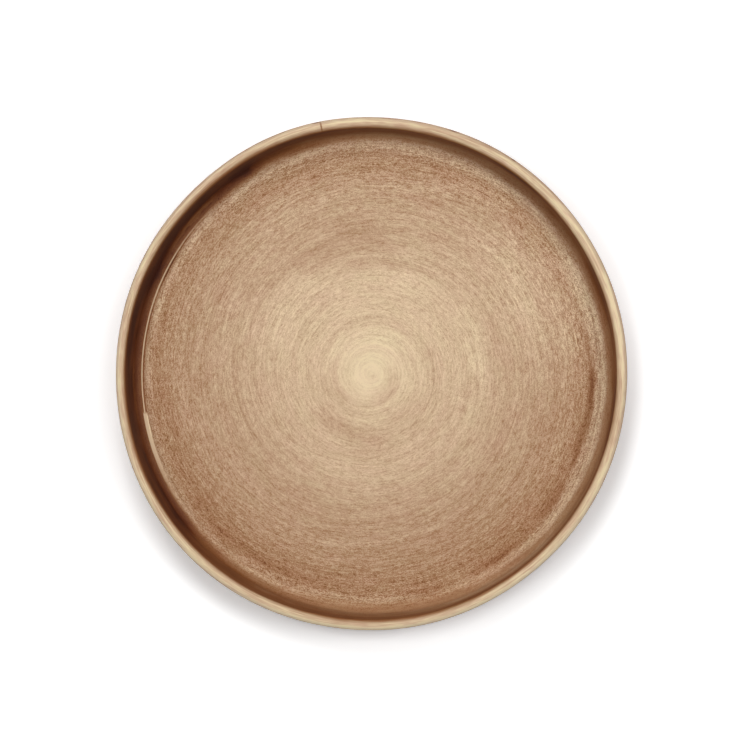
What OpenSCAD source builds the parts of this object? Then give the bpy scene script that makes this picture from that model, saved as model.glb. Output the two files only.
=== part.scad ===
// Small round plate of glazed stoneware, with a flat floor, a low upright wall and a turned foot.
// Lengths are in millimetres. The plate stands on z = 0 and its axis of turning is the z axis.

/* [Plate] */
// Diameter over the lip
plate_d = 200; // [160:1:300]
// Height from the table to the top of the lip
plate_h = 22; // [20:0.5:30]
// Thickness of the floor at its middle
floor_t = 4.6; // [3.5:0.1:7]

/* [Wall] */
// Thickness of the wall at its rounded lip
lip_t = 4.2; // [3:0.1:7]
// Lean of the outer face from upright, in degrees
outer_lean = 4; // [0:0.5:8]
// Lean of the inner face from upright, in degrees
inner_lean = 6; // [2:0.5:14]
// Radius of the hollow corner between the floor and the wall
corner_r = 3; // [1:0.1:5]
// Radius of the rounded heel between the wall and the underside
heel_r = 5; // [2:0.1:8]

/* [Turned groove in the floor] */
// Width of the groove that runs round the foot of the wall
groove_w = 1.6; // [0.8:0.1:4]
// Depth of the groove
groove_d = 0.25; // [0.1:0.05:0.6]
// Flat land between the groove and the hollow corner
groove_land = 0.4; // [0:0.1:3]

/* [Foot ring] */
// Flat band of the underside between the heel and the foot ring
foot_band = 8; // [2:0.5:30]
// Width of the foot ring
foot_w = 5; // [3:0.5:12]
// Height of the band outside the foot ring above the table
foot_h = 1.8; // [1.5:0.1:3]
// Height of the hollow inside the foot ring above the table
hollow_h = 2.2; // [1.5:0.1:3]
// Radius on the two lower edges of the foot ring
foot_edge_r = 0.6; // [0.2:0.1:0.7]
// Radius of the coves where the foot ring meets the underside
foot_cove_r = 0.8; // [0.2:0.1:0.8]

/* [Hidden] */
$fn = 180;

// A straight face ends this far inside the round that it runs into, so that the two cross cleanly
overlap = 0.0005;

// Middle of the rounded lip
lip_c = [(plate_d - lip_t) / 2, plate_h - lip_t / 2];
// Directions square to the wall's faces, out of the clay
outer_dir = [cos(outer_lean), -sin(outer_lean)];
inner_dir = [-cos(inner_lean), sin(inner_lean)];
// Where the outer and the inner face run into the lip
lip_outer = lip_c + outer_dir * (lip_t / 2 - overlap);
lip_inner = lip_c + inner_dir * (lip_t / 2 - overlap);

// Middle of the heel's round, which touches the outer face and the underside
heel_y = foot_h + heel_r;
heel_x = lip_c[0] + (lip_t / 2 - heel_r + (heel_y - lip_c[1]) * sin(outer_lean)) / cos(outer_lean);
heel_on_wall = [heel_x, heel_y] + outer_dir * (heel_r - overlap);

// Middle of the hollow corner's round, which touches the inner face and the floor
floor_y = hollow_h + floor_t;
corner_y = floor_y + corner_r;
corner_x = lip_c[0]
    - (lip_t / 2 + corner_r - (corner_y - lip_c[1]) * sin(inner_lean)) / cos(inner_lean);
corner_on_wall = [corner_x, corner_y] - inner_dir * (corner_r - overlap);

// The groove is an arc through its two edges and its lowest point
groove_x = corner_x - groove_land - groove_w / 2;
groove_r = (groove_w * groove_w / 4 + groove_d * groove_d) / (2 * groove_d);

// The foot ring lies a band's width inside the heel
foot_outer = heel_x - foot_band;
foot_inner = foot_outer - foot_w;

module disc(x, y, r) {
    translate([x, y]) circle(r);
}

// Outline of the outside from the axis under the foot and up the wall, filled to the height of the lip
module filled_outside() {
    polygon([
        [0, hollow_h],
        [foot_inner - foot_cove_r, hollow_h],
        [foot_inner, hollow_h - foot_cove_r],
        [foot_inner, foot_edge_r],
        [foot_inner + foot_edge_r, 0],
        [foot_outer - foot_edge_r, 0],
        [foot_outer, foot_edge_r],
        [foot_outer, foot_h - foot_cove_r],
        [foot_outer + foot_cove_r, foot_h],
        [heel_x, foot_h],
        heel_on_wall,
        lip_outer,
        lip_inner,
        [0, lip_inner[1]]
    ]);
    disc(heel_x, heel_y, heel_r);
    disc(foot_inner + foot_edge_r, foot_edge_r, foot_edge_r);
    disc(foot_outer - foot_edge_r, foot_edge_r, foot_edge_r);
}

// The room that food lies in, with its hollow corner and the groove in its floor
module well() {
    above_lip = lip_inner + [sin(inner_lean), cos(inner_lean)] * lip_t;
    polygon([
        [0, floor_y],
        [corner_x, floor_y],
        corner_on_wall,
        above_lip,
        [0, above_lip[1]]
    ]);
    disc(corner_x, corner_y, corner_r);
    disc(groove_x, floor_y - groove_d + groove_r, groove_r);
}

// The coves on both sides of the foot ring
module foot_coves() {
    disc(foot_inner - foot_cove_r, hollow_h - foot_cove_r, foot_cove_r);
    disc(foot_outer + foot_cove_r, foot_h - foot_cove_r, foot_cove_r);
}

module half_section() {
    difference() {
        filled_outside();
        well();
        foot_coves();
    }
    disc(lip_c[0], lip_c[1], lip_t / 2);
}

module plate() {
    color([0.77, 0.63, 0.49]) rotate_extrude() half_section();
}

plate();
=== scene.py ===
"""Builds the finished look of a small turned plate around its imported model.

It is laid out as an add-on and is run as a script.
"""

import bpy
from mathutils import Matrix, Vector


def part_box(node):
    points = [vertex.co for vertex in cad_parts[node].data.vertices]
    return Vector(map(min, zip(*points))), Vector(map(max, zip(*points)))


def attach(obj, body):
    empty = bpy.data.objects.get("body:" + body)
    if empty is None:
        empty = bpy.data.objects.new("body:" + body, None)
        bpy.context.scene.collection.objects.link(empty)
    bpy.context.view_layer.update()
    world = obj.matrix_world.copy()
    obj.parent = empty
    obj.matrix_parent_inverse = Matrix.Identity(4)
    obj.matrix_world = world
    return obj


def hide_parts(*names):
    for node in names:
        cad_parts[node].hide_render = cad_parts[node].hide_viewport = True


bl_info = {
    "name": "Brushed stoneware plate",
    "version": (1, 0, 0),
    "blender": (4, 5, 0),
    "location": "3D View > Sidebar > Plate",
    "description": "Turns a small plate, paints its brushed brown glaze and sets the stage for it",
    "category": "Add Mesh",
}

from math import atan2, cos, hypot, pi, radians, sin

import bmesh
import bpy
from bpy.props import FloatProperty, FloatVectorProperty, IntProperty, PointerProperty
from mathutils import Matrix, Vector

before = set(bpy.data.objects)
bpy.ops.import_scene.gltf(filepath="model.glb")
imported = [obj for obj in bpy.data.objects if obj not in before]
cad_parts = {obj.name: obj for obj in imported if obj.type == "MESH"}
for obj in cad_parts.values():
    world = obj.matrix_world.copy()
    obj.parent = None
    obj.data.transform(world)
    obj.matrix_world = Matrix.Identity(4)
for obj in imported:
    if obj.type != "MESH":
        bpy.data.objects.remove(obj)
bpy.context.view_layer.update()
LOW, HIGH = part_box("plate")
# One millimetre, in the scene's metres
MM = 0.001


def srgb(red, green, blue):
    """A colour given by 0 to 255 screen values, as the linear values that sockets take."""
    levels = (value / 255 for value in (red, green, blue))
    return tuple(v / 12.92 if v <= 0.04045 else ((v + 0.055) / 1.055) ** 2.4 for v in levels)


def length(label, description, value):
    return FloatProperty(
        name=label, description=description, default=value, min=0.0, unit="LENGTH", precision=5
    )


def angle(label, description, degrees):
    return FloatProperty(
        name=label, description=description, default=radians(degrees), unit="ROTATION"
    )


def tint(label, description, *screen):
    return FloatVectorProperty(
        name=label,
        description=description,
        default=srgb(*screen),
        min=0.0,
        max=1.0,
        size=3,
        subtype="COLOR",
    )


def share(label, description, value):
    return FloatProperty(
        name=label, description=description, default=value, min=0.0, max=1.0, subtype="FACTOR"
    )


class PlateSizes(bpy.types.PropertyGroup):
    """The section that the plate is turned to."""

    diameter: length("Diameter", "Diameter over the lip", HIGH.x - LOW.x)
    height: length("Height", "Height from the table to the top of the lip", HIGH.z - LOW.z)
    floor: length("Floor thickness", "Thickness of the floor at its middle", 4.6 * MM)
    lip: length("Lip thickness", "Thickness of the wall at its rounded lip", 4.2 * MM)
    outer_lean: angle("Outer lean", "Lean of the outer face from upright", 4)
    inner_lean: angle("Inner lean", "Lean of the inner face from upright", 6)
    corner: length("Corner radius", "Radius between the floor and the wall", 3.0 * MM)
    heel: length("Heel radius", "Radius between the wall and the underside", 5.0 * MM)
    groove_width: length("Groove width", "Width of the groove at the foot of the wall", 1.6 * MM)
    groove_depth: length("Groove depth", "Depth of the groove at the foot of the wall", 0.25 * MM)
    groove_land: length("Groove land", "Flat land between the groove and the corner", 0.4 * MM)
    foot_band: length("Foot band", "Band between the heel and the foot ring", 8.0 * MM)
    foot_width: length("Foot width", "Width of the foot ring", 5.0 * MM)
    foot_height: length("Foot height", "Height of the band outside the foot ring", 1.8 * MM)
    hollow_height: length("Hollow height", "Height of the hollow inside the foot ring", 2.2 * MM)
    foot_edge: length("Foot edge radius", "Radius on the lower edges of the foot ring", 0.6 * MM)
    foot_cove: length("Foot cove radius", "Radius at the root of the foot ring", 0.8 * MM)
    steps: IntProperty(
        name="Steps", description="Steps of the full turn", default=384, min=96, max=512
    )


class GlazeColours(bpy.types.PropertyGroup):
    """The colours of the glaze from its thinnest to its thickest, and of the bare clay."""

    cream: tint("Cream", "Glaze brushed so thin that the pale slip shows", 230, 208, 171)
    sand: tint("Sand", "Thin glaze", 202, 173, 142)
    tan: tint("Tan", "Glaze of the usual thickness on the floor", 181, 148, 118)
    fawn: tint("Fawn", "Glaze near the edge of the floor", 159, 120, 87)
    brown: tint("Brown", "Thick glaze on the wall", 127, 80, 46)
    umber: tint("Umber", "Thicker glaze in the corner", 94, 48, 22)
    dark: tint("Dark", "Glaze pooled in the wall's thickest coat", 58, 24, 13)
    clay: tint("Clay", "Bare clay of the foot ring", 196, 172, 144)
    clay_dark: tint("Clay grain", "Darker grain in the bare clay", 150, 122, 96)


class StageSettings(bpy.types.PropertyGroup):
    """The floor, the lamps and the camera."""

    floor_radius: length("Floor radius", "Radius of the round floor", 4.0)
    floor_colour: tint("Floor colour", "Colour of the floor", 241, 243, 246)
    floor_white: FloatProperty(
        name="Floor white", description="How white the camera sees the floor", default=1.30, min=0.0
    )
    sky: share("Sky", "Light from all round", 0.04)
    left: share("Left lamp", "Share of the light from the lamp at the left", 0.38)
    right: share("Right lamp", "Share of the light from the lamp at the upper right", 0.23)
    top: share("Top lamp", "Share of the light from the lamp at the top", 0.23)
    low: share("Low lamp", "Share of the light from the low lamp at the right", 0.18)
    camera_height: length("Camera height", "Height of the camera over the table", 1.15)
    pixel: length("Pixel", "Width of one pixel of the view at the height of the lip", 0.38891 * MM)


# The section and the turned body


class SectionPen:
    """Draws a half section in the xz plane from one vertex, which it extrudes along lines and spins
    round arcs. Its layer run keeps how far along the section each vertex is."""

    def __init__(self, bm, start):
        self.bm = bm
        self.run = bm.verts.layers.float.new("run")
        self.tip = bm.verts.new((start.x, 0.0, start.y))

    def at(self):
        return Vector((self.tip.co.x, self.tip.co.z))

    def line(self, end, parts=1):
        """A straight run to end, in equal parts."""
        step = (Vector(end) - self.at()) / parts
        for _ in range(parts):
            new = bmesh.ops.extrude_vert_indiv(self.bm, verts=[self.tip])["verts"][0]
            new.co += Vector((step.x, 0.0, step.y))
            new[self.run] = self.tip[self.run] + step.length
            self.tip = new

    def arc(self, centre, turn, parts):
        """An arc about centre, by an angle that is positive against the clock."""
        before = set(self.bm.verts)
        run, radius = self.tip[self.run], (self.at() - Vector(centre)).length
        made = bmesh.ops.spin(
            self.bm,
            geom=[self.tip],
            cent=(centre[0], 0.0, centre[1]),
            axis=(0.0, -1.0, 0.0),
            angle=turn,
            steps=parts,
        )
        chain = [v for v in self.bm.verts if v not in before]
        start = Vector((self.tip.co.x, self.tip.co.z)) - Vector(centre)
        for v in chain:
            here = Vector((v.co.x, v.co.z)) - Vector(centre)
            v[self.run] = run + radius * abs(start.angle(here))
        self.tip = made["geom_last"][0]


def draw_section(bm, s):
    """Draws the plate's half section from the middle of its floor, over the lip, to the middle of
    its underside. Returns how far along it each part of the plate starts."""
    out = Vector((cos(s.outer_lean), -sin(s.outer_lean)))
    inward = Vector((-cos(s.inner_lean), sin(s.inner_lean)))
    lip_r = s.lip / 2
    lip_c = Vector((s.diameter / 2 - lip_r, s.height - lip_r))
    floor_z = s.hollow_height + s.floor
    corner_z = floor_z + s.corner
    slope_in = (corner_z - lip_c.y) * sin(s.inner_lean)
    corner_x = lip_c.x - (lip_r + s.corner - slope_in) / cos(s.inner_lean)
    heel_z = s.foot_height + s.heel
    slope_out = (heel_z - lip_c.y) * sin(s.outer_lean)
    heel_x = lip_c.x + (lip_r - s.heel + slope_out) / cos(s.outer_lean)
    groove_x = corner_x - s.groove_land - s.groove_width / 2
    half = s.groove_width / 2
    groove_r = (half * half + s.groove_depth**2) / (2 * s.groove_depth)
    groove_turn = 2 * atan2(half, groove_r - s.groove_depth)
    foot_out = heel_x - s.foot_band
    foot_in = foot_out - s.foot_width
    edge, cove = s.foot_edge, s.foot_cove

    places = {}
    pen = SectionPen(bm, Vector((0.0, floor_z)))
    pen.line((groove_x - half, floor_z), 46)
    places["groove"] = pen.tip[pen.run]
    pen.arc((groove_x, floor_z - s.groove_depth + groove_r), groove_turn, 6)
    pen.line((corner_x, floor_z))
    places["corner"] = pen.tip[pen.run]
    pen.arc((corner_x, corner_z), pi / 2 - s.inner_lean, 12)
    places["wall"] = pen.tip[pen.run]
    pen.line(lip_c + inward * lip_r, 7)
    places["lip"] = pen.tip[pen.run]
    crest = pi / 2 - s.inner_lean
    pen.arc(lip_c, -crest, 9)
    places["crest"] = pen.tip[pen.run]
    pen.arc(lip_c, -(pi / 2 + s.outer_lean), 9)
    places["outside"] = pen.tip[pen.run]
    pen.line(Vector((heel_x, heel_z)) + out * s.heel, 7)
    places["heel"] = pen.tip[pen.run]
    pen.arc((heel_x, heel_z), -(pi / 2 - s.outer_lean), 9)
    places["band"] = pen.tip[pen.run]
    pen.line((foot_out + cove, s.foot_height), 4)
    pen.arc((foot_out + cove, s.foot_height - cove), pi / 2, 4)
    places["foot"] = pen.tip[pen.run]
    pen.line((foot_out, edge))
    pen.arc((foot_out - edge, edge), -pi / 2, 3)
    pen.line((foot_in + edge, 0.0), 3)
    pen.arc((foot_in + edge, edge), -pi / 2, 3)
    pen.line((foot_in, s.hollow_height - cove))
    places["hollow"] = pen.tip[pen.run]
    pen.arc((foot_in - cove, s.hollow_height - cove), pi / 2, 4)
    pen.line((0.0, s.hollow_height), 24)
    places["end"] = pen.tip[pen.run]
    return places


def waves(turn, *terms):
    """A sum of waves round the plate. Each term is how many waves, their height, and where one
    crests, in degrees."""
    return sum(height * cos(count * (turn - radians(crest))) for count, height, crest in terms)


def between(value, low, high):
    """0 below low, 1 above high, and smooth between them."""
    t = min(max((value - low) / (high - low), 0.0), 1.0)
    return t * t * (3 - 2 * t)


def shape_by_hand(bm, places, height):
    """Takes the turned body a little out of round, as a hand-thrown plate is, and gives its surface
    the thrower's rings. Shifts and lifts are in millimetres."""
    run = bm.verts.layers.float["run"]
    names = ("groove", "corner", "wall", "lip", "crest", "outside", "heel", "band", "hollow")
    groove, corner, wall, lip, crest, outside, heel, band, hollow = (places[n] for n in names)
    for v in bm.verts:
        s, radius, turn = v[run], hypot(v.co.x, v.co.y), atan2(v.co.y, v.co.x)
        if radius < 1e-7:
            continue
        # The wall is out of round at its lip, and less so at the foot.
        shift = waves(turn, (2, 0.31, 65), (3, 0.17, -10), (4, 0.12, 43))
        shift += waves(turn, (6, 0.11, -15), (8, 0.08, 17), (7, 0.05, 10))
        shift *= between(radius, 0.02, 0.095) * (0.35 + 0.65 * v.co.z / height)
        # The inner face is thrown a little off the centre of the outer one.
        inside = between(s, 0.06, corner) * (1 - between(s, wall, crest))
        shift += inside * waves(turn, (1, 0.75, 5), (3, 0.15, 80))
        lip_inside = between(s, wall, lip) * (1 - between(s, lip, crest))
        shift += lip_inside * waves(turn, (1, 0.30, 208), (2, -0.20, 80), (5, 0.06, 20))
        # Soft rings left by the fingers on the outer face
        outer = between(s, outside, outside + 0.002) * (1 - between(s, heel, band))
        sway = 0.5 * sin(turn) + 0.3 * sin(2 * turn + 1)
        shift += outer * 0.07 * sin(v.co.z * 2 * pi / 0.0052 + sway)
        # Faint rings left by the rib on the floor, and on the underside
        ring = 0.035 * sin(radius * 2 * pi / 0.0115 + turn + 0.6 * sin(turn * 2))
        ring += 0.02 * sin(radius * 2 * pi / 0.0042 - turn)
        lift = between(radius, 0.004, 0.02) * (1 - between(s, groove - 0.008, groove)) * ring
        under = between(s, hollow + 0.002, hollow + 0.01) * between(radius, 0.003, 0.02)
        lift += under * 0.04 * sin(radius * 2 * pi / 0.0075 - turn)
        # The lip rises and falls a little.
        top = between(s, wall, crest) * (1 - between(s, crest, heel))
        lift += top * (waves(turn, (2, 0.10, 20), (3, 0.07, 100), (5, 0.04, 40)) - 0.12)
        v.co.x *= 1 + shift * MM / radius
        v.co.y *= 1 + shift * MM / radius
        v.co.z += lift * MM


def lay_out_map(bm, places):
    """Lays the top and the underside out as two discs, unrolled along the section, for a bake."""
    run = bm.verts.layers.float["run"]
    layer = bm.loops.layers.uv.new("OFBake")
    top_scale = 0.400 / places["crest"]
    under_scale = 0.168 / (places["end"] - places["crest"])
    for face in bm.faces:
        above = sum(v[run] for v in face.verts) / len(face.verts) < places["crest"]
        for loop in face.loops:
            v = loop.vert
            turn = atan2(v.co.y, v.co.x)
            if above:
                middle, reach = Vector((0.405, 0.405)), v[run] * top_scale
            else:
                middle, reach = Vector((0.828, 0.828)), (places["end"] - v[run]) * under_scale
                turn = -turn
            loop[layer].uv = middle + reach * Vector((cos(turn), sin(turn)))


def turn_body(sizes):
    """The whole plate as one closed mesh, in the row frame, and the places along its section."""
    bm = bmesh.new()
    places = draw_section(bm, sizes)
    bmesh.ops.spin(
        bm,
        geom=bm.verts[:] + bm.edges[:],
        cent=(0.0, 0.0, 0.0),
        axis=(0.0, 0.0, 1.0),
        angle=2 * pi,
        steps=sizes.steps,
        use_merge=True,
    )
    bmesh.ops.remove_doubles(bm, verts=bm.verts, dist=1e-6)
    bmesh.ops.recalc_face_normals(bm, faces=bm.faces)
    shape_by_hand(bm, places, sizes.height)
    lay_out_map(bm, places)
    run = bm.verts.layers.float["run"]
    for face in bm.faces:
        face.smooth = True
        middle = sum(v[run] for v in face.verts) / len(face.verts)
        face.material_index = int(places["foot"] < middle < places["hollow"])
    mesh = bpy.data.meshes.new("glazed_plate")
    bm.to_mesh(mesh)
    bm.free()
    return mesh, places


# The materials


class Wiring:
    """Adds nodes to one node tree. A value is a number, a tuple or an output socket."""

    def __init__(self, tree):
        self.tree = tree

    def node(self, kind, inputs=(), **settings):
        node = self.tree.nodes.new(kind)
        for name, value in settings.items():
            setattr(node, name, value)
        for name, value in dict(inputs).items():
            self.feed(node.inputs[name], value)
        return node

    def feed(self, socket, value):
        if isinstance(value, bpy.types.NodeSocket):
            self.tree.links.new(value, socket)
        else:
            socket.default_value = value

    def math(self, operation, *values, clamp=False):
        node = self.node("ShaderNodeMath", operation=operation, use_clamp=clamp)
        for socket, value in zip(node.inputs, values):
            self.feed(socket, value)
        return node.outputs[0]

    def add(self, *values):
        total = values[0]
        for value in values[1:]:
            total = self.math("ADD", total, value)
        return total

    def times(self, *values):
        total = values[0]
        for value in values[1:]:
            total = self.math("MULTIPLY", total, value)
        return total

    def ease(self, value, low, high, out_low=0.0, out_high=1.0):
        """value mapped smoothly from low..high to out_low..out_high."""
        node = self.node("ShaderNodeMapRange", interpolation_type="SMOOTHSTEP", clamp=False)
        for socket, number in zip(node.inputs, (value, low, high, out_low, out_high)):
            self.feed(socket, number)
        return node.outputs["Result"]

    def curve(self, value, points, low, high, top=1.0):
        """value looked up on a smooth curve through points. Their first numbers run from low to
        high, and their second numbers from 0 to top."""
        place = self.times(self.add(value, -low), 1 / (high - low))
        node = self.node("ShaderNodeFloatCurve", {"Value": place})
        line = node.mapping.curves[0]
        scaled = [((x - low) / (high - low), y / top) for x, y in points]
        while len(line.points) < len(scaled):
            line.points.new(0.5, 0.5)
        for point, at in zip(line.points, scaled):
            point.location = at
            point.handle_type = "AUTO_CLAMPED"
        node.mapping.update()
        return self.times(node.outputs["Value"], top)

    def ramp(self, value, stops, kind="LINEAR"):
        node = self.node("ShaderNodeValToRGB", {"Fac": value})
        node.color_ramp.interpolation = kind
        for _ in range(len(stops) - 2):
            node.color_ramp.elements.new(0.5)
        for element, (place, colour) in zip(node.color_ramp.elements, stops):
            element.position = place
            element.color = (*colour, 1.0)
        return node.outputs["Color"]

    def mix(self, factor, first, second, kind="MIX"):
        node = self.node("ShaderNodeMix", data_type="RGBA", blend_type=kind)
        # A Mix node has a factor, A and B for each kind of data; 6 and 7 are the colours.
        for place, value in ((0, factor), (6, first), (7, second)):
            colour = isinstance(value, tuple) and len(value) == 3
            self.feed(node.inputs[place], (*value, 1.0) if colour else value)
        return node.outputs[2]

    def noise(self, place, size=1.0, detail=2.0, rough=0.5, centred=True):
        """Noise that goes about from -1 to 1, or from 0 to 1 when it isn't centred."""
        inputs = {"Vector": place, "Scale": size, "Detail": detail, "Roughness": rough}
        value = self.node("ShaderNodeTexNoise", inputs).outputs["Fac"]
        return self.times(self.add(value, -0.5), 2.0) if centred else value

    def vector(self, x, y, z):
        return self.node("ShaderNodeCombineXYZ", {"X": x, "Y": y, "Z": z}).outputs[0]

    def group(self, tree, **inputs):
        node = self.node("ShaderNodeGroup", node_tree=tree)
        for name, value in inputs.items():
            self.feed(node.inputs[name.replace("_", " ")], value)
        return node.outputs


def new_group(name, inputs, outputs):
    """An empty shader node group. inputs and outputs give each socket's name and default."""
    tree = bpy.data.node_groups.new(name, "ShaderNodeTree")
    for title, value in inputs:
        socket = tree.interface.new_socket(title, in_out="INPUT", socket_type="NodeSocketFloat")
        socket.default_value = value
    for title in outputs:
        tree.interface.new_socket(title, in_out="OUTPUT", socket_type="NodeSocketFloat")
    given = tree.nodes.new("NodeGroupInput").outputs
    out = tree.nodes.new("NodeGroupOutput").inputs
    return tree, Wiring(tree), given, out


def make_place_group():
    """Where a point lies on the plate: its distance from the axis in millimetres, and its angle."""
    tree, w, _, out = new_group("place on the plate", (), ("Radius", "Angle"))
    place = w.node("ShaderNodeTexCoord").outputs["Object"]
    x, y, _ = w.node("ShaderNodeSeparateXYZ", {"Vector": place}).outputs
    radius = w.math("SQRT", w.add(w.times(x, x), w.times(y, y)))
    w.feed(out["Radius"], w.times(radius, 1000.0))
    w.feed(out["Angle"], w.math("ARCTAN2", y, x))
    return tree


def make_streak_group():
    """Brush hairs that run round the axis. Along and Wide are the size of a hair in millimetres
    where Sweep is 0. Sweep turns the pattern, in radians, so that one which grows outwards makes
    spirals."""
    inputs = (
        ("Angle", 0.0),
        ("Radius", 0.0),
        ("Across", 0.0),
        ("Sweep", 0.0),
        ("Along", 6.0),
        ("Wide", 0.4),
        ("Detail", 1.0),
        ("Roughness", 0.5),
        ("Seed", 0.0),
    )
    tree, w, given, out = new_group("brush streaks", inputs, ("Streaks",))
    turn = w.add(given["Angle"], given["Sweep"])
    reach = w.math("DIVIDE", given["Radius"], given["Along"])
    place = w.vector(
        w.add(w.times(w.math("COSINE", turn), reach), given["Seed"]),
        w.times(w.math("SINE", turn), reach),
        w.math("DIVIDE", given["Across"], given["Wide"]),
    )
    w.feed(out["Streaks"], w.noise(place, 1.0, given["Detail"], given["Roughness"]))
    return tree


def make_touch_group():
    """A soft place where the brush left more glaze, or less. It lies at an angle and a distance
    from the axis, and fades to nothing at the half angle, in radians, and the half width, in
    millimetres. Flat is the share of both over which it is full."""
    inputs = (
        ("Angle", 0.0),
        ("Radius", 0.0),
        ("At angle", 0.0),
        ("At radius", 50.0),
        ("Half angle", 0.5),
        ("Half width", 5.0),
        ("Flat", 0.0),
    )
    tree, w, given, out = new_group("brush touch", inputs, ("Touch",))
    turn = w.math("SUBTRACT", given["Angle"], given["At angle"])
    gap = w.math("ABSOLUTE", w.math("WRAP", turn, pi, -pi))
    away = w.math("ABSOLUTE", w.math("SUBTRACT", given["Radius"], given["At radius"]))
    round_it = w.ease(w.math("DIVIDE", gap, given["Half angle"]), given["Flat"], 1.0, 1.0, 0.0)
    across = w.ease(w.math("DIVIDE", away, given["Half width"]), given["Flat"], 1.0, 1.0, 0.0)
    w.feed(out["Touch"], w.times(round_it, across))
    return tree


def make_grain_group():
    """The fine grain of the clay, which shows in bare clay and through thin glaze."""
    tree, w, given, out = new_group("clay grain", (("Size mm", 0.5), ("Detail", 3.0)), ("Grain",))
    place = w.node("ShaderNodeTexCoord").outputs["Object"]
    scale = w.math("DIVIDE", 1000.0, given["Size mm"])
    w.feed(out["Grain"], w.noise(place, scale, given["Detail"], 0.6))
    return tree


def new_material(name):
    material = bpy.data.materials.new(name)
    material.use_nodes = True
    material.node_tree.nodes.clear()
    return material, Wiring(material.node_tree)


def bump(w, height, distance, strength=1.0):
    inputs = {"Height": height, "Distance": distance, "Strength": strength}
    return w.node("ShaderNodeBump", inputs).outputs["Normal"]


# How far further in the lip's bare-looking band starts, by angle in degrees, in millimetres.
LIP_STARTS = [
    (-180, 0.03), (-163, 0.05), (-150, 0.42), (-138, 0.55), (-120, 0.40), (-110, -0.05),
    (-100, -0.70), (-90, -0.95), (-68, -0.92), (-52, -0.50), (-38, -0.25), (-28, 0.12),
    (-10, 0.45), (20, 0.52), (38, 0.30), (52, 0.02), (70, -0.38), (90, -0.34), (112, -0.34),
    (122, -0.20), (140, 0.08), (160, 0.18), (180, 0.03),
]

# How much of the dark side's thick coat the wall has, by angle in degrees.
DARK_SHARE = [
    (-180, 0.90), (-158, 0.86), (-142, 0.72), (-132, 0.34), (-105, 0.12), (-60, 0.0),
    (-15, 0.10), (25, 0.32), (80, 0.30), (104, 0.42), (117, 0.62), (123, 0.98), (150, 1.0),
    (180, 0.90),
]

# How strong the brush's hairs are, by distance from the axis in millimetres.
HAIR_STRENGTH = [
    (0.0, 0.22), (9.0, 0.40), (20.0, 0.72), (33.0, 0.82), (52.0, 1.0), (71.0, 1.35), (84.0, 1.7),
    (100.0, 1.7),
]

# Where the brush left more glaze, or less: the angle and half angle in degrees, the distance from
# the axis and half width in millimetres, and how much.
FLOOR_TOUCHES = [
    (28, 42, 74, 34, -0.062), (98, 36, 51, 17, 0.040), (20, 90, 5, 6, 0.015),
    (222, 100, 5, 6, -0.030), (150, 50, 18.5, 5, -0.040), (308, 45, 20, 6, 0.040),
    (312, 60, 10, 5, 0.045), (215, 30, 14.5, 4, 0.040), (145, 40, 46, 10, -0.045),
    (10, 45, 44, 7, -0.030), (300, 60, 38, 6, 0.018), (302, 75, 74, 28, 0.046),
    (222, 60, 76, 30, 0.028), (172, 40, 68, 10, 0.015), (352, 24, 73, 7, 0.045),
    (135, 45, 80, 9, -0.012), (20, 20, 86, 6, -0.030), (352, 48, 8, 2.8, 0.036),
    (38, 50, 14.5, 3.2, 0.028), (165, 32, 14.2, 2.6, 0.026), (330, 26, 22.8, 3, 0.020),
    (68, 26, 38, 6, -0.026), (158, 22, 38, 6, -0.026), (345, 18, 38, 6, 0.020),
    (60, 32, 81, 4, -0.032), (65, 32, 56, 5, -0.018), (128, 18, 50, 4, -0.020),
    (225, 28, 83.8, 3, 0.034),
]
# These stray less from their places.
RIM_TOUCHES = [
    (252, 44, 25.0, 6.0, 0.052), (222, 22, 26.6, 4.0, 0.026), (275, 20, 27.0, 3.0, 0.020),
    (218, 14, 86.2, 1.8, -0.030), (270, 12, 89.8, 1.6, -0.035), (-50, 60, 1.4, 1.1, 0.035),
    (-3, 9, 87.2, 2.2, 0.30), (8, 8, 86.3, 1.8, 0.08), (-15, 11, 86.8, 2.8, 0.20),
    (-22, 6, 87.6, 1.7, 0.16), (-35, 13, 87.6, 2.6, 0.17), (-54, 16, 88.3, 2.4, 0.22),
    (-76, 14, 88.6, 2.2, 0.09), (-30, 40, 85.0, 3.0, 0.05), (228, 56, 87.5, 3.6, 0.085),
    (245, 34, 84.8, 2.5, 0.050), (172, 26, 85.4, 3.4, 0.050), (48, 20, 87.6, 2.0, 0.08),
    (98, 26, 87.6, 2.4, 0.08), (345, 9, 86.0, 1.8, -0.045), (128, 34, 86.0, 2.2, 0.030),
    (352, 15, 88.0, 1.8, 0.050), (48, 14, 89.4, 1.8, 0.050), (288, 14, 89.4, 1.8, 0.050),
    (150, 8, 89.4, 1.8, 0.040), (137, 12, 89.9, 1.6, -0.070),
]

# Strokes that spiral in to the middle. Each point gives the distance from the axis in millimetres,
# and the angle in degrees at which the stroke's edge crosses it.
LONG_STROKE = [
    (18.3, 540), (18.9, 525), (21.2, 490), (22.6, 460), (23.6, 422), (24.4, 390), (25.2, 340),
    (26.0, 312), (28.3, 295), (33.4, 270), (36.6, 247), (40.9, 220), (43.3, 202), (46.0, 184),
    (48.8, 168), (52.1, 152), (55.1, 130), (57.8, 97), (58.5, 60), (58.9, 0), (59.8, -40),
    (62.2, -60),
]
OUTER_STROKE = [
    (53.5, 332), (55.7, 310), (57.2, 287), (59.6, 265), (62.5, 240), (64.5, 212), (67.4, 180),
    (68.1, 150), (68.6, 122), (69.2, 100), (71.4, 82), (76.3, 60), (81.4, 25),
]
MIDDLE_STROKE = [
    (7.0, 830), (7.9, 782), (8.85, 720), (10.4, 685), (11.8, 660), (12.8, 630), (14.3, 597),
    (14.9, 570), (15.2, 530), (15.5, 500),
]
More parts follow.
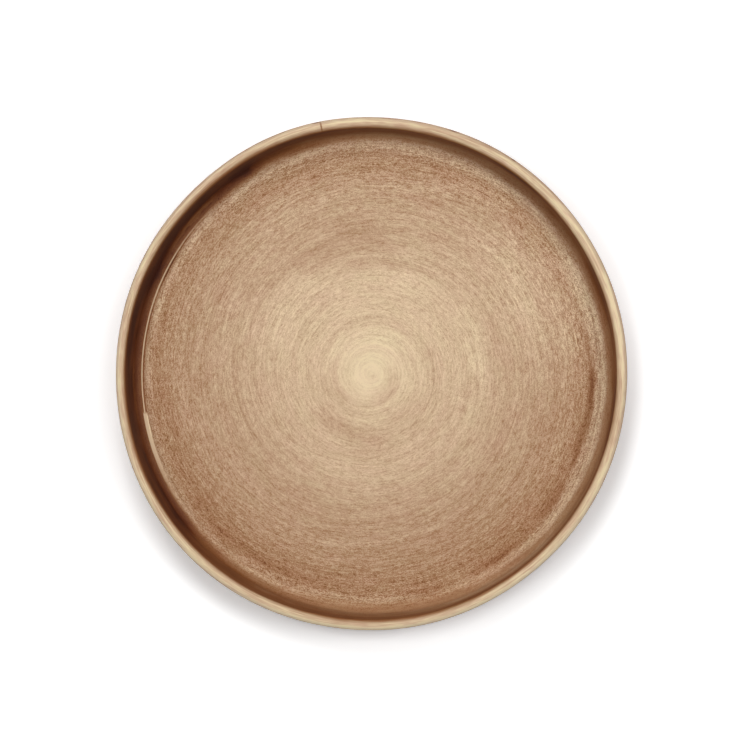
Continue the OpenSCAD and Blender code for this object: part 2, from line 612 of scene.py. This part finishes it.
# The points of each stroke, how dark its edge line is, how much more glaze lies inside, and a seed
STROKES = [
    (LONG_STROKE, 0.046, 0.014, 131.0),
    (OUTER_STROKE, 0.042, 0.010, 151.0),
    (MIDDLE_STROKE, 0.036, 0.012, 171.0),
    ([(48.6, 108), (49.3, 92), (50.1, 45), (50.4, 5), (50.7, -35)], 0.036, 0.0, 181.0),
    ([(50.4, 222), (51.3, 212), (54.3, 185), (55.2, 176)], 0.050, 0.0, 191.0),
    ([(23.8, 345), (25.6, 302), (29.1, 262), (30.4, 246)], 0.046, 0.0, 201.0),
    ([(25.2, 244), (26.4, 234), (29.1, 212), (30.5, 152), (32.6, 130)], 0.036, 0.0, 211.0),
    ([(38.7, 362), (39.6, 350), (41.7, 325), (43.6, 306)], 0.046, 0.0, 221.0),
]

# Half width of the dark line at the edge of a stroke, in millimetres
STROKE_LINE = 0.42

# How fast the hairs turn as they run outwards, in radians for each e-fold of the distance
SWIRL = 11.4


def coat_tables(mm):
    """How thick the glaze lies, by place along the section in millimetres, at the bright side of
    the plate and at its dark side, with painted shade on the lip's outer shoulder. 0 is hardly any
    glaze, and 1 is glaze that pooled."""
    names = ("corner", "wall", "lip", "crest", "outside", "heel", "band", "end")
    corner, wall, lip, crest, outside, heel, band, end = (mm[name] for name in names)
    floor = [
        (0.0, 0.004), (8.0, 0.014), (14.5, 0.056), (20.0, 0.074), (27.0, 0.092), (33.0, 0.093),
        (42.0, 0.106), (52.0, 0.142), (68.0, 0.168), (76.0, 0.194), (82.0, 0.244),
    ]
    under = [
        (outside + 2.0, 0.42), (heel, 0.46), (band, 0.56), (band + 12.0, 0.48),
        (end - 20.0, 0.36), (end, 0.34),
    ]
    # On both sides the last two points darken the lip's outer shoulder: painted shade where it
    # turns away from the light.
    bright_side = [
        (85.0, 0.248), (87.0, 0.222), (89.5, 0.15), (corner - 0.3, 0.12), (corner + 0.5, 0.17),
        (corner + 1.3, 0.29), (corner + 2.2, 0.31), (wall, 0.33), (wall + 5.0, 0.37),
        (lip - 0.5, 0.50), (lip + 0.3, 0.44), (lip + 0.9, 0.13), (crest - 0.8, 0.07),
        (crest + 0.9, 0.06), (crest + 1.7, 0.12), (outside - 0.4, 0.20),
    ]
    dark_side = [
        (85.0, 0.25), (87.0, 0.22), (88.3, 0.18), (corner - 2.2, 0.21), (corner - 0.6, 0.36),
        (corner + 0.5, 0.60), (corner + 2.2, 0.76), (wall, 0.88), (wall + 5.0, 0.96),
        (lip - 1.0, 0.88), (lip + 0.4, 0.60), (lip + 1.6, 0.28), (crest - 0.6, 0.13),
        (crest + 0.9, 0.07), (crest + 1.7, 0.12), (outside - 0.4, 0.20),
    ]
    return floor + bright_side + under, floor + dark_side + under


def wall_marks(mm):
    """Marks on the wall and the lip, as FLOOR_TOUCHES gives them but measured along the section,
    and patches of thick glaze on the wall that end sharply."""
    corner, wall, lip, crest = (mm[name] for name in ("corner", "wall", "lip", "crest"))
    wall_touches = [
        (55, 7, lip - 4.0, 7.0, 0.20), (20, 12, wall + 1.0, 6.0, 0.16),
        (350, 14, lip - 3.0, 9.0, 0.16), (306, 50, wall + 2.0, 8.0, -0.135),
        (282, 46, corner - 0.2, 2.6, 0.12), (68, 44, wall + 1.0, 5.0, -0.09),
        (82, 34, wall - 1.4, 3.0, -0.12), (58, 26, lip + 2.1, 1.2, -0.055),
        (194, 15, lip + 1.9, 1.2, 0.065), (145, 18, crest - 0.3, 1.3, 0.045),
        (62, 20, crest + 1.4, 0.9, 0.050), (162, 24, crest + 1.4, 1.0, -0.050),
        (310, 11, corner + 0.3, 2.0, 0.055), (355, 14, corner + 0.5, 2.4, -0.055),
        (32, 16, corner - 0.5, 1.8, 0.045), (217, 17, corner - 0.7, 1.8, -0.075),
        (213, 14, corner + 1.4, 1.4, 0.10), (153, 7, corner - 1.1, 0.6, 0.16),
        (30, 34, wall - 1.0, 3.0, -0.06), (268, 40, corner - 0.6, 2.6, 0.050),
        (38, 16, corner - 0.4, 2.4, 0.050), (103, 9, corner + 0.4, 1.5, 0.080),
        (128, 34, crest - 1.2, 2.2, 0.050), (205, 24, crest - 2.2, 1.6, 0.050),
        (190, 14, wall - 1.5, 2.6, -0.08), (122, 3, wall, 5.0, 0.20),
        (156, 5, wall - 0.5, 3.0, 0.18), (137, 14, wall - 1.2, 1.6, -0.18),
        (108, 10, wall, 4.0, -0.08), (182, 16, wall - 0.8, 1.8, -0.14),
        (12, 12, corner - 1.0, 2.4, -0.05), (101.43, 0.3, crest, 3.0, 0.34),
        (102.4, 1.3, crest + 2.4, 1.0, 0.45), (71.3, 1.5, crest + 2.4, 1.0, 0.50),
        (64.0, 3.0, crest + 2.6, 0.8, 0.30), (56.3, 0.8, crest + 2.3, 1.0, 0.50),
        (10, 30, crest + 0.2, 1.2, -0.05),
    ]
    wall_patches = [
        (52, 9, lip - 3.0, 4.6, 0.11), (21, 7, lip - 4.6, 4.4, 0.10),
        (349, 11.5, lip - 2.4, 3.6, 0.10), (123.5, 3.2, wall + 1.0, 6.0, 0.14),
        (154.5, 3.0, wall - 1.6, 2.8, 0.16), (213, 13, wall - 0.2, 2.2, 0.14),
        (108, 11, lip - 2.0, 3.2, 0.10), (140, 11, wall - 2.2, 1.0, -0.16),
        (133, 8, wall - 0.4, 0.5, -0.12), (146, 5, wall - 0.9, 0.4, -0.10),
        (178, 12, wall - 0.6, 0.5, -0.08),
    ]
    return wall_touches, wall_patches


class Glaze:
    """The parts of the brushed glaze, as nodes. All of them read where a point lies on the plate:
    its distance from the axis, its angle, and how far along the section it is."""

    def __init__(self, w, places, groups):
        self.w, self.groups = w, groups
        self.mm = {name: place / MM for name, place in places.items()}
        self.radius, self.turn = w.group(groups["place"])
        along = w.node("ShaderNodeAttribute", attribute_name="run").outputs["Fac"]
        self.run = w.times(along, 1000.0)
        self.degrees = w.times(self.turn, 180.0 / pi)
        self.log_r = w.math("LOGARITHM", w.math("MAXIMUM", self.radius, 0.5), 2.718281828)
        self.swept = w.times(self.log_r, SWIRL)
        # Slow unevenness, by which marks and strokes stray from their places
        self.drift = self.around(w.times(self.radius, 0.12))

    def around(self, third):
        """Slow noise round the plate, with a third coordinate."""
        w, waves = self.w, 4.0
        x = w.times(w.math("COSINE", self.turn), waves)
        y = w.times(w.math("SINE", self.turn), waves)
        return w.noise(w.vector(x, y, third), 1.0, 3.0)

    def streaks(self, across, sweep, along, wide, seed, **more):
        """Brush hairs, from about -1 to 1."""
        more |= {"Across": across, "Sweep": sweep, "Along": along, "Wide": wide, "Seed": seed}
        return self.w.group(self.groups["streaks"], Angle=self.turn, Radius=self.radius, **more)[0]

    def coat(self):
        """How thick the glaze was laid, with painted shade on the lip's outer shoulder, and how
        much of that is the dark side's coat.
        """
        w, run, mm = self.w, self.run, self.mm
        names = ("wall", "lip", "crest", "outside", "end")
        wall, lip, crest, outside, end = (mm[name] for name in names)
        starts = [(at, shift + 1.0) for at, shift in LIP_STARTS]
        lip_shift = w.add(w.curve(self.degrees, starts, -180.0, 180.0, top=2.0), -1.0)
        # The edge of the thick coat wanders at the foot of the wall.
        uneven = self.around(7.0)
        at_corner = w.times(w.ease(run, 87.0, 90.0), w.ease(run, wall, wall + 3.0, 1.0, 0.0))
        on_lip_side = w.times(w.ease(run, wall + 3.0, lip), w.ease(run, crest, outside, 1.0, 0.0))
        place = w.add(run, w.times(lip_shift, on_lip_side), w.times(uneven, at_corner, 1.2))
        bright_side, dark_side = coat_tables(mm)
        thin = w.curve(place, bright_side, 0.0, end)
        thick = w.curve(place, dark_side, 0.0, end)
        ragged = w.noise(w.vector(w.times(self.turn, 3.0), w.times(run, 0.25), 0.0), 1.0, 3.0)
        strayed = w.math("WRAP", w.add(self.turn, w.times(ragged, 0.05)), pi, -pi)
        side = w.curve(w.times(strayed, 180.0 / pi), DARK_SHARE, -180.0, 180.0)
        coat = w.add(w.times(thin, w.math("SUBTRACT", 1.0, side)), w.times(thick, side))
        return coat, side

    def hairs(self):
        """What the brush's hairs and the clay's grain add to the thickness, and their relief."""
        w, radius, run, swept = self.w, self.radius, self.run, self.swept
        wall, lip, crest, outside = (self.mm[name] for name in ("wall", "lip", "crest", "outside"))
        strokes = self.streaks(run, swept, 14.0, 2.2, 27.0, Detail=2.0)
        round_hairs = self.streaks(run, 0.0, 7.0, 0.38, 57.0)
        # Near the rim the short crossing hairs are as strong as the long ones.
        crossing = w.add(
            w.times(self.streaks(run, 0.0, 0.4, 3.0, 81.0), 0.110),
            w.times(self.streaks(run, w.times(self.log_r, 1.43), 0.7, 1.7, 71.0), 0.060),
            w.times(self.streaks(run, w.times(self.log_r, -1.43), 0.7, 1.7, 73.0), 0.060),
        )
        near_rim = w.ease(radius, 76.0, 88.0, 1.0, 1.5)
        fine = w.add(
            w.times(strokes, w.ease(radius, 8.0, 24.0, 0.075, 0.030)),
            w.times(self.streaks(run, swept, 5.2, 0.7, 41.0), 0.060),
            w.times(round_hairs, 0.040),
            w.times(self.streaks(run, 0.0, 1.5, 0.35, 63.0), 0.055),
            w.times(self.streaks(run, 0.0, 3.0, 0.8, 91.0), 0.070),
            w.times(crossing, near_rim, w.ease(run, crest, outside, 1.0, 0.2)),
            w.times(w.group(self.groups["grain"], Size_mm=2.0)[0], 0.040),
        )
        # Dark hairs are a little stronger than pale ones.
        fine = w.times(fine, w.add(w.times(fine, 3.0), 1.0))
        strength = w.curve(radius, HAIR_STRENGTH, 0.0, 100.0, top=2.0)
        # They show on the floor and outside, less on the wall, and not on the lip.
        below_lip = w.ease(run, lip - 1.5, lip + 0.3, 1.0, 0.0)
        inside = w.times(w.ease(run, 88.0, wall, 1.0, 0.16), below_lip)
        reach = w.add(inside, w.ease(run, outside - 0.5, outside + 2.0, 0.0, 0.45))
        relief = w.times(w.add(w.times(round_hairs, 0.4), w.times(strokes, 0.6)), reach)
        return w.times(fine, strength, reach), relief

    def lip_lines(self):
        """The long lines on the lip, and where the lip is."""
        w, run, lip, outside = self.w, self.run, self.mm["lip"], self.mm["outside"]
        on_lip = w.times(
            w.ease(run, lip, lip + 1.0), w.ease(run, outside - 1.0, outside + 0.5, 1.0, 0.0)
        )
        lines = w.add(
            w.times(self.streaks(run, 0.0, 16.0, 0.5, 101.0), 0.9),
            w.times(self.streaks(run, 0.0, 5.0, 0.9, 103.0), 0.6),
        )
        return lines, on_lip

    def wall_lines(self, side):
        """The soft bands round the wall, which are stronger where its coat is thick."""
        w, run, lip = self.w, self.run, self.mm["lip"]
        on_wall = w.times(
            w.ease(run, self.mm["corner"], self.mm["wall"]),
            w.ease(run, lip - 0.5, lip + 0.5, 1.0, 0.0),
        )
        lines = w.add(
            w.times(self.streaks(run, 0.0, 30.0, 3.0, 111.0, Detail=2.0), 0.22),
            w.times(self.streaks(run, 0.0, 12.0, 7.0, 113.0, Detail=3.0), 0.20),
        )
        return w.times(on_wall, lines, w.add(w.times(side, 0.7), 0.5))

    def soft_marks(self):
        """Clouds, wide bands, the brush's touches and its spiral strokes. Each is added as soon as
        it is made, because a renderer holds only so many values at a time."""
        w, run, turn, radius, drift = self.w, self.run, self.turn, self.radius, self.drift
        bands = self.streaks(run, self.swept, 30.0, 6.0, 11.3, Detail=3.0, Roughness=0.55)
        soft = w.add(
            w.times(self.streaks(run, w.times(radius, 0.05), 45.0, 22.0, 3.1, Detail=2.0), 0.030),
            w.times(bands, w.ease(radius, 6.0, 26.0, 0.085, 0.055)),
            # Lighter towards 60 degrees, the upper right, and darker opposite: partly painted light
            # from that side, partly the glaze's own unevenness.
            w.times(w.math("COSINE", w.add(turn, radians(-60))), -0.012),
        )
        stray = w.add(radius, w.times(drift, w.ease(radius, 5.0, 40.0, 1.5, 7.0)))
        near_rim = w.add(radius, w.times(drift, 1.6))
        torn = w.noise(w.vector(w.times(turn, 14.0), w.times(run, 0.5), 3.0), 1.0, 2.0)
        touches, patches = wall_marks(self.mm)
        # Where each kind is measured, the share of its size over which it is full, and the kind
        kinds = (
            (w.add(turn, w.times(drift, 0.35)), stray, 0.0, FLOOR_TOUCHES),
            (w.add(turn, w.times(drift, 0.05)), near_rim, 0.0, RIM_TOUCHES),
            (turn, run, 0.0, touches),
            (w.add(turn, w.times(torn, 0.06)), w.add(run, w.times(torn, 1.6)), 0.5, patches),
        )
        for angle_at, radius_at, flat, spots in kinds:
            for at, half, out_at, half_wide, amount in spots:
                touch = w.group(
                    self.groups["touch"],
                    Angle=angle_at,
                    Radius=radius_at,
                    At_angle=radians(at),
                    Half_angle=radians(half),
                    At_radius=out_at,
                    Half_width=half_wide,
                    Flat=flat,
                )[0]
                soft = w.add(soft, w.times(touch, amount))
        for stroke in STROKES:
            soft = w.add(soft, self.spiral(*stroke))
        return soft

    def spiral(self, points, line, shade, seed):
        """A stroke along points. It leaves a dark line at its edge, and a shade of glaze inside."""
        w, radius = self.w, self.radius
        low, high = points[0][0], points[-1][0]
        least, most = min(at for _, at in points), max(at for _, at in points)
        shares = [(reach, (at - least) / (most - least)) for reach, at in points]
        edge = w.curve(radius, shares, low, high)
        edge = w.add(w.times(edge, most - least), least)
        turns = w.times(w.math("SUBTRACT", self.degrees, edge), 1 / 360)
        phase = w.math("FRACT", w.add(turns, w.times(self.drift, 0.012), 4.0))
        broken = self.streaks(radius, self.swept, 16.0, 9.0, seed, Detail=2.0)
        broken = w.ease(broken, -0.25, 0.2)
        within = w.times(w.ease(radius, low, low + 0.6), w.ease(radius, high - 0.6, high, 1.0, 0.0))
        # The line is as wide everywhere, so it covers more of a turn where the spiral is shallow.
        wide = [
            ((near + far) / 2, min(0.3, STROKE_LINE * abs(at - to) / (far - near) / 360))
            for (near, at), (far, to) in zip(points, points[1:])
        ]
        wide = [(low, wide[0][1]), *wide, (high, wide[-1][1])]
        away = w.math("ABSOLUTE", w.math("WRAP", phase, 0.5, -0.5))
        away = w.math("DIVIDE", away, w.curve(radius, wide, low, high, top=0.4))
        thin_line = w.times(w.ease(away, 0.2, 1.0, 1.0, 0.0), broken, line)
        if not shade:
            return w.times(thin_line, within)
        inside = w.times(w.ease(phase, 0.72, 0.99), w.add(w.times(broken, 0.6), 0.4), shade)
        well_within = w.times(
            w.ease(radius, low, low + 3.0), w.ease(radius, high - 4.0, high, 1.0, 0.0)
        )
        return w.add(w.times(thin_line, within), w.times(inside, well_within))

    def left_line(self, darkness):
        """Returns the darkness with what shows at the left, where the coat breaks over the groove's
        outer
        edge: a pale line, which widens at its lower end to a bare wedge, both partly thin glaze and
        partly a painted highlight; a bright rim on the wedge, which is a painted highlight; and a
        dark line of pooled glaze beside it."""
        w = self.w
        groove_edge = self.mm["corner"] - 0.4
        west = w.times(w.math("WRAP", w.add(self.turn, -pi), pi, -pi), 180.0 / pi)

        def band_at(middle, half, soft_by):
            """1 within half a width of a place along the section, and 0 soft_by further out."""
            return w.ease(
                w.math("ABSOLUTE", w.add(self.run, -middle)), half, half + soft_by, 1.0, 0.0
            )

        along_line = w.times(w.ease(west, -50.0, -28.0), w.ease(west, 9.6, 10.4, 1.0, 0.0))
        along_wedge = w.times(w.ease(west, 9.2, 10.2), w.ease(west, 16.0, 40.0, 1.0, 0.0))
        along_rim = w.times(w.ease(west, 10.0, 11.0), w.ease(west, 14.0, 17.0, 1.0, 0.0))
        # The pale line and the bare wedge are partly glaze broken thin and partly a painted
        # highlight; bright is a painted highlight on the wedge's inner rim.
        pale_line = w.times(along_line, band_at(groove_edge, 0.15, 0.2))
        wedge = w.times(along_wedge, band_at(groove_edge - 0.1, 0.68, 0.3))
        bright = w.times(along_rim, band_at(groove_edge - 0.8, 0.1, 0.2))
        pooled = w.times(along_line, band_at(groove_edge - 0.65, 0.12, 0.22), 0.20)
        bare = w.math("MAXIMUM", pale_line, wedge)
        darkness = w.add(darkness, pooled)
        darkness = w.add(
            w.times(darkness, w.math("SUBTRACT", 1.0, bare)), w.times(bare, 0.085)
        )
        # Painted highlight: the wedge's rim is lightened towards cream.
        return w.add(darkness, w.times(bright, -0.14))


def make_glaze(colours, places, groups):
    """Thin brown glaze, brushed on while the plate turned: pale where thin, dark where thick, with
    painted light, sheen and highlights where noted.
    """
    material, w = new_material("brushed_glaze")
    glaze = Glaze(w, places, groups)
    run, crest, outside = glaze.run, glaze.mm["crest"], glaze.mm["outside"]
    coat, side = glaze.coat()
    soft = glaze.soft_marks()
    hairs, relief = glaze.hairs()
    lip_lines, on_lip = glaze.lip_lines()
    # Painted light: the lip's outer edge is painted darker at the upper side and lighter at the
    # lower, to even out the lamps' shading there.
    edge = w.times(
        w.ease(run, crest + 0.2, crest + 1.6), w.ease(run, outside, outside + 2.0, 1.0, 0.0)
    )
    painted_edge_light = w.add(w.times(w.math("COSINE", w.add(glaze.turn, radians(-80))), 0.075), -0.03)
    darkness = w.add(
        coat,
        soft,
        hairs,
        w.times(on_lip, lip_lines, 0.13),
        w.times(edge, painted_edge_light),
        glaze.wall_lines(side),
    )
    darkness = glaze.left_line(darkness)
    tones = ("cream", "sand", "tan", "fawn", "brown", "umber", "dark")
    depths = (0.0, 0.10, 0.18, 0.28, 0.48, 0.73, 1.0)
    stops = [(depth, tuple(getattr(colours, tone))) for depth, tone in zip(depths, tones)]
    colour = w.ramp(w.math("ADD", darkness, 0.0, clamp=True), stops)
    # Blotches and lines are a little pinker or more yellow, and the lip's outer edge is greyer:
    # painted sheen and shade where it turns away from the light.
    blotches = glaze.streaks(run, 0.0, 12.0, 6.0, 151.0, Detail=3.0)
    tinge = w.add(w.times(blotches, 0.9), w.times(on_lip, lip_lines, 2.0), 0.5)
    yellower, pinker = (0.985, 1.01, 0.975), (1.02, 0.985, 1.01)
    tone = w.mix(w.math("ADD", tinge, 0.0, clamp=True), yellower, pinker)
    colour = w.mix(1.0, colour, tone, "MULTIPLY")
    # Painted sheen and shade: the lip's outer edge is mixed 14 % towards grey.
    colour = w.mix(w.times(edge, 0.14), colour, (0.47, 0.42, 0.365))
    surface = w.node(
        "ShaderNodeBsdfPrincipled",
        {
            "Base Color": colour,
            "Roughness": w.ease(darkness, 0.1, 0.7, 0.66, 0.58),
            "IOR": 1.5,
            "Specular IOR Level": 0.16,
            "Normal": bump(w, relief, 0.00003, 0.5),
        },
    )
    out = w.node("ShaderNodeOutputMaterial")
    w.feed(out.inputs["Surface"], surface.outputs["BSDF"])
    return material


def make_bare_clay(colours, groups):
    """The wiped foot ring: matt, grainy clay with fine turning lines."""
    material, w = new_material("bare_clay")
    radius, turn = w.group(groups["place"])
    grain = w.group(groups["grain"], Size_mm=0.5)[0]
    size = {"Along": 20.0, "Wide": 0.4, "Seed": 5.0}
    lines = w.group(groups["streaks"], Angle=turn, Radius=radius, Across=radius, **size)[0]
    darker = w.ease(w.add(grain, w.times(lines, 0.5)), -0.6, 0.9)
    colour = w.mix(darker, tuple(colours.clay), tuple(colours.clay_dark))
    surface = w.node(
        "ShaderNodeBsdfPrincipled",
        {
            "Base Color": colour,
            "Roughness": w.ease(grain, -0.5, 0.5, 0.72, 0.88),
            "IOR": 1.5,
            "Normal": bump(w, w.add(grain, lines), 0.00008, 0.6),
        },
    )
    out = w.node("ShaderNodeOutputMaterial")
    w.feed(out.inputs["Surface"], surface.outputs["BSDF"])
    return material


class PLATE_OT_turn(bpy.types.Operator):
    """Turns the plate, shapes it by hand and glazes it"""

    bl_idname = "plate.turn"
    bl_label = "Turn and glaze the plate"

    def execute(self, context):
        mesh, places = turn_body(context.scene.plate_sizes)
        groups = {
            "place": make_place_group(),
            "streaks": make_streak_group(),
            "grain": make_grain_group(),
            "touch": make_touch_group(),
        }
        colours = context.scene.plate_glaze
        mesh.materials.append(make_glaze(colours, places, groups))
        mesh.materials.append(make_bare_clay(colours, groups))
        piece = bpy.data.objects.new("glazed_plate", mesh)
        context.scene.collection.objects.link(piece)
        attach(piece, "root")
        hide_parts("plate")
        return {"FINISHED"}


# The stage


def camera_rays(w):
    """1 for what the camera sees, directly, in a gloss or through glass, and 0 for light."""
    path = w.node("ShaderNodeLightPath").outputs
    seen = w.math("ADD", path["Is Camera Ray"], path["Is Glossy Ray"])
    return w.math("ADD", seen, path["Is Transmission Ray"], clamp=True)


def make_floor(settings):
    """A round white floor. The camera sees it white, and dimmer only in the plate's shadow."""
    bm = bmesh.new()
    bmesh.ops.create_circle(bm, cap_ends=True, radius=settings.floor_radius, segments=96)
    mesh = bpy.data.meshes.new("floor")
    bm.to_mesh(mesh)
    bm.free()
    material, w = new_material("pale_floor")
    place = w.node("ShaderNodeTexCoord").outputs["Object"]
    away = w.node("ShaderNodeVectorMath", {"Vector": place}, operation="LENGTH").outputs["Value"]
    far = w.ease(away, 0.3, 1.0)
    seen = camera_rays(w)
    colour = w.mix(seen, tuple(settings.floor_colour), (settings.floor_white,) * 3)
    matt = w.node("ShaderNodeBsdfDiffuse", {"Color": colour})
    white = w.node("ShaderNodeEmission", {"Color": (1.0, 1.0, 1.0, 1.0)})
    blend = w.node("ShaderNodeMixShader", {"Fac": w.times(far, seen)})
    w.feed(blend.inputs[1], matt.outputs[0])
    w.feed(blend.inputs[2], white.outputs[0])
    out = w.node("ShaderNodeOutputMaterial")
    w.feed(out.inputs["Surface"], blend.outputs[0])
    mesh.materials.append(material)
    floor = bpy.data.objects.new("floor", mesh)
    bpy.context.scene.collection.objects.link(floor)


def light_world(settings):
    """White light from all round, which the camera sees as a white backdrop."""
    world = bpy.data.worlds.new("studio")
    world.use_nodes = True
    w = Wiring(world.node_tree)
    world.node_tree.nodes.clear()
    strength = w.add(settings.sky, w.times(camera_rays(w), 1 - settings.sky))
    back = w.node("ShaderNodeBackground", {"Color": (1.0, 1.0, 1.0, 1.0), "Strength": strength})
    out = w.node("ShaderNodeOutputWorld")
    w.feed(out.inputs["Surface"], back.outputs[0])
    bpy.context.scene.world = world


# How far each lamp stands from the plate, in metres
LAMP_DISTANCE = 1.6


def add_lamp(name, part, azimuth, elevation, distance, size):
    """A soft lamp that gives a level surface at the plate this part of the light at which colours
    render as written. It stands at a distance in metres, aimed at the plate."""
    lamp = bpy.data.lights.new(name, "AREA")
    lamp.size = size
    # A small lamp of power P lights a surface square to it by P / (pi d^2), and a colour as it is
    # written needs pi.
    lamp.energy = part * pi * pi * distance**2 / sin(elevation)
    way = Vector((cos(elevation) * cos(azimuth), cos(elevation) * sin(azimuth), sin(elevation)))
    ob = bpy.data.objects.new(name, lamp)
    aim = way.to_track_quat("Z", "Y").to_matrix().to_4x4()
    ob.matrix_world = Matrix.Translation(way * distance) @ aim
    bpy.context.scene.collection.objects.link(ob)


def aim_camera(settings, sizes):
    """A camera straight above the plate. Its lens is set for an image 740 pixels wide, in which the
    plate lies a little off its middle."""
    pixels, right, down = 740, 1.18, 3.78
    camera = bpy.data.cameras.new("camera")
    camera.sensor_fit = "HORIZONTAL"
    camera.sensor_width = 36.0
    above = settings.camera_height - sizes.height
    camera.lens = camera.sensor_width * above / (pixels * settings.pixel)
    camera.clip_start, camera.clip_end = 0.05, 20.0
    ob = bpy.data.objects.new("camera", camera)
    ob.location = (-right * settings.pixel, down * settings.pixel, settings.camera_height)
    bpy.context.scene.collection.objects.link(ob)
    bpy.context.scene.camera = ob


class PLATE_OT_stage(bpy.types.Operator):
    """Lays the floor, lights it and aims the camera"""

    bl_idname = "plate.stage"
    bl_label = "Set the stage"

    def execute(self, context):
        settings = context.scene.plate_stage
        make_floor(settings)
        light_world(settings)
        # Name, share of the light, azimuth and elevation in degrees, and size in metres
        for name, part, azimuth, elevation, size in (
            ("lamp_left", settings.left, 180, 66, 0.8),
            ("lamp_right", settings.right, 32, 69, 0.8),
            ("lamp_top", settings.top, 104, 55, 0.6),
            ("lamp_low", settings.low, 5, 55, 0.6),
        ):
            add_lamp(name, part, radians(azimuth), radians(elevation), LAMP_DISTANCE, size)
        aim_camera(settings, context.scene.plate_sizes)
        context.scene.view_settings.view_transform = "Standard"
        return {"FINISHED"}


class PLATE_PT_sidebar(bpy.types.Panel):
    """Lists the plate's operators and sizes"""

    bl_idname = "PLATE_PT_sidebar"
    bl_label = "Brushed stoneware plate"
    bl_space_type = "VIEW_3D"
    bl_region_type = "UI"
    bl_category = "Plate"

    def draw(self, context):
        layout = self.layout
        scene = context.scene
        layout.operator(PLATE_OT_turn.bl_idname)
        layout.operator(PLATE_OT_stage.bl_idname)
        groups = (
            ("Sizes", scene.plate_sizes),
            ("Colours", scene.plate_glaze),
            ("Stage", scene.plate_stage),
        )
        for title, group in groups:
            box = layout.box()
            box.label(text=title)
            for name in group.__annotations__:
                box.prop(group, name)


CLASSES = (PlateSizes, GlazeColours, StageSettings, PLATE_OT_turn, PLATE_OT_stage, PLATE_PT_sidebar)
SETTINGS = {"plate_sizes": PlateSizes, "plate_glaze": GlazeColours, "plate_stage": StageSettings}


def register():
    for cls in CLASSES:
        bpy.utils.register_class(cls)
    for name, group in SETTINGS.items():
        setattr(bpy.types.Scene, name, PointerProperty(type=group))


def unregister():
    for name in SETTINGS:
        delattr(bpy.types.Scene, name)
    for cls in reversed(CLASSES):
        bpy.utils.unregister_class(cls)


def main():
    register()
    bpy.ops.plate.turn()
    bpy.ops.plate.stage()


if __name__ == "__main__":
    main()
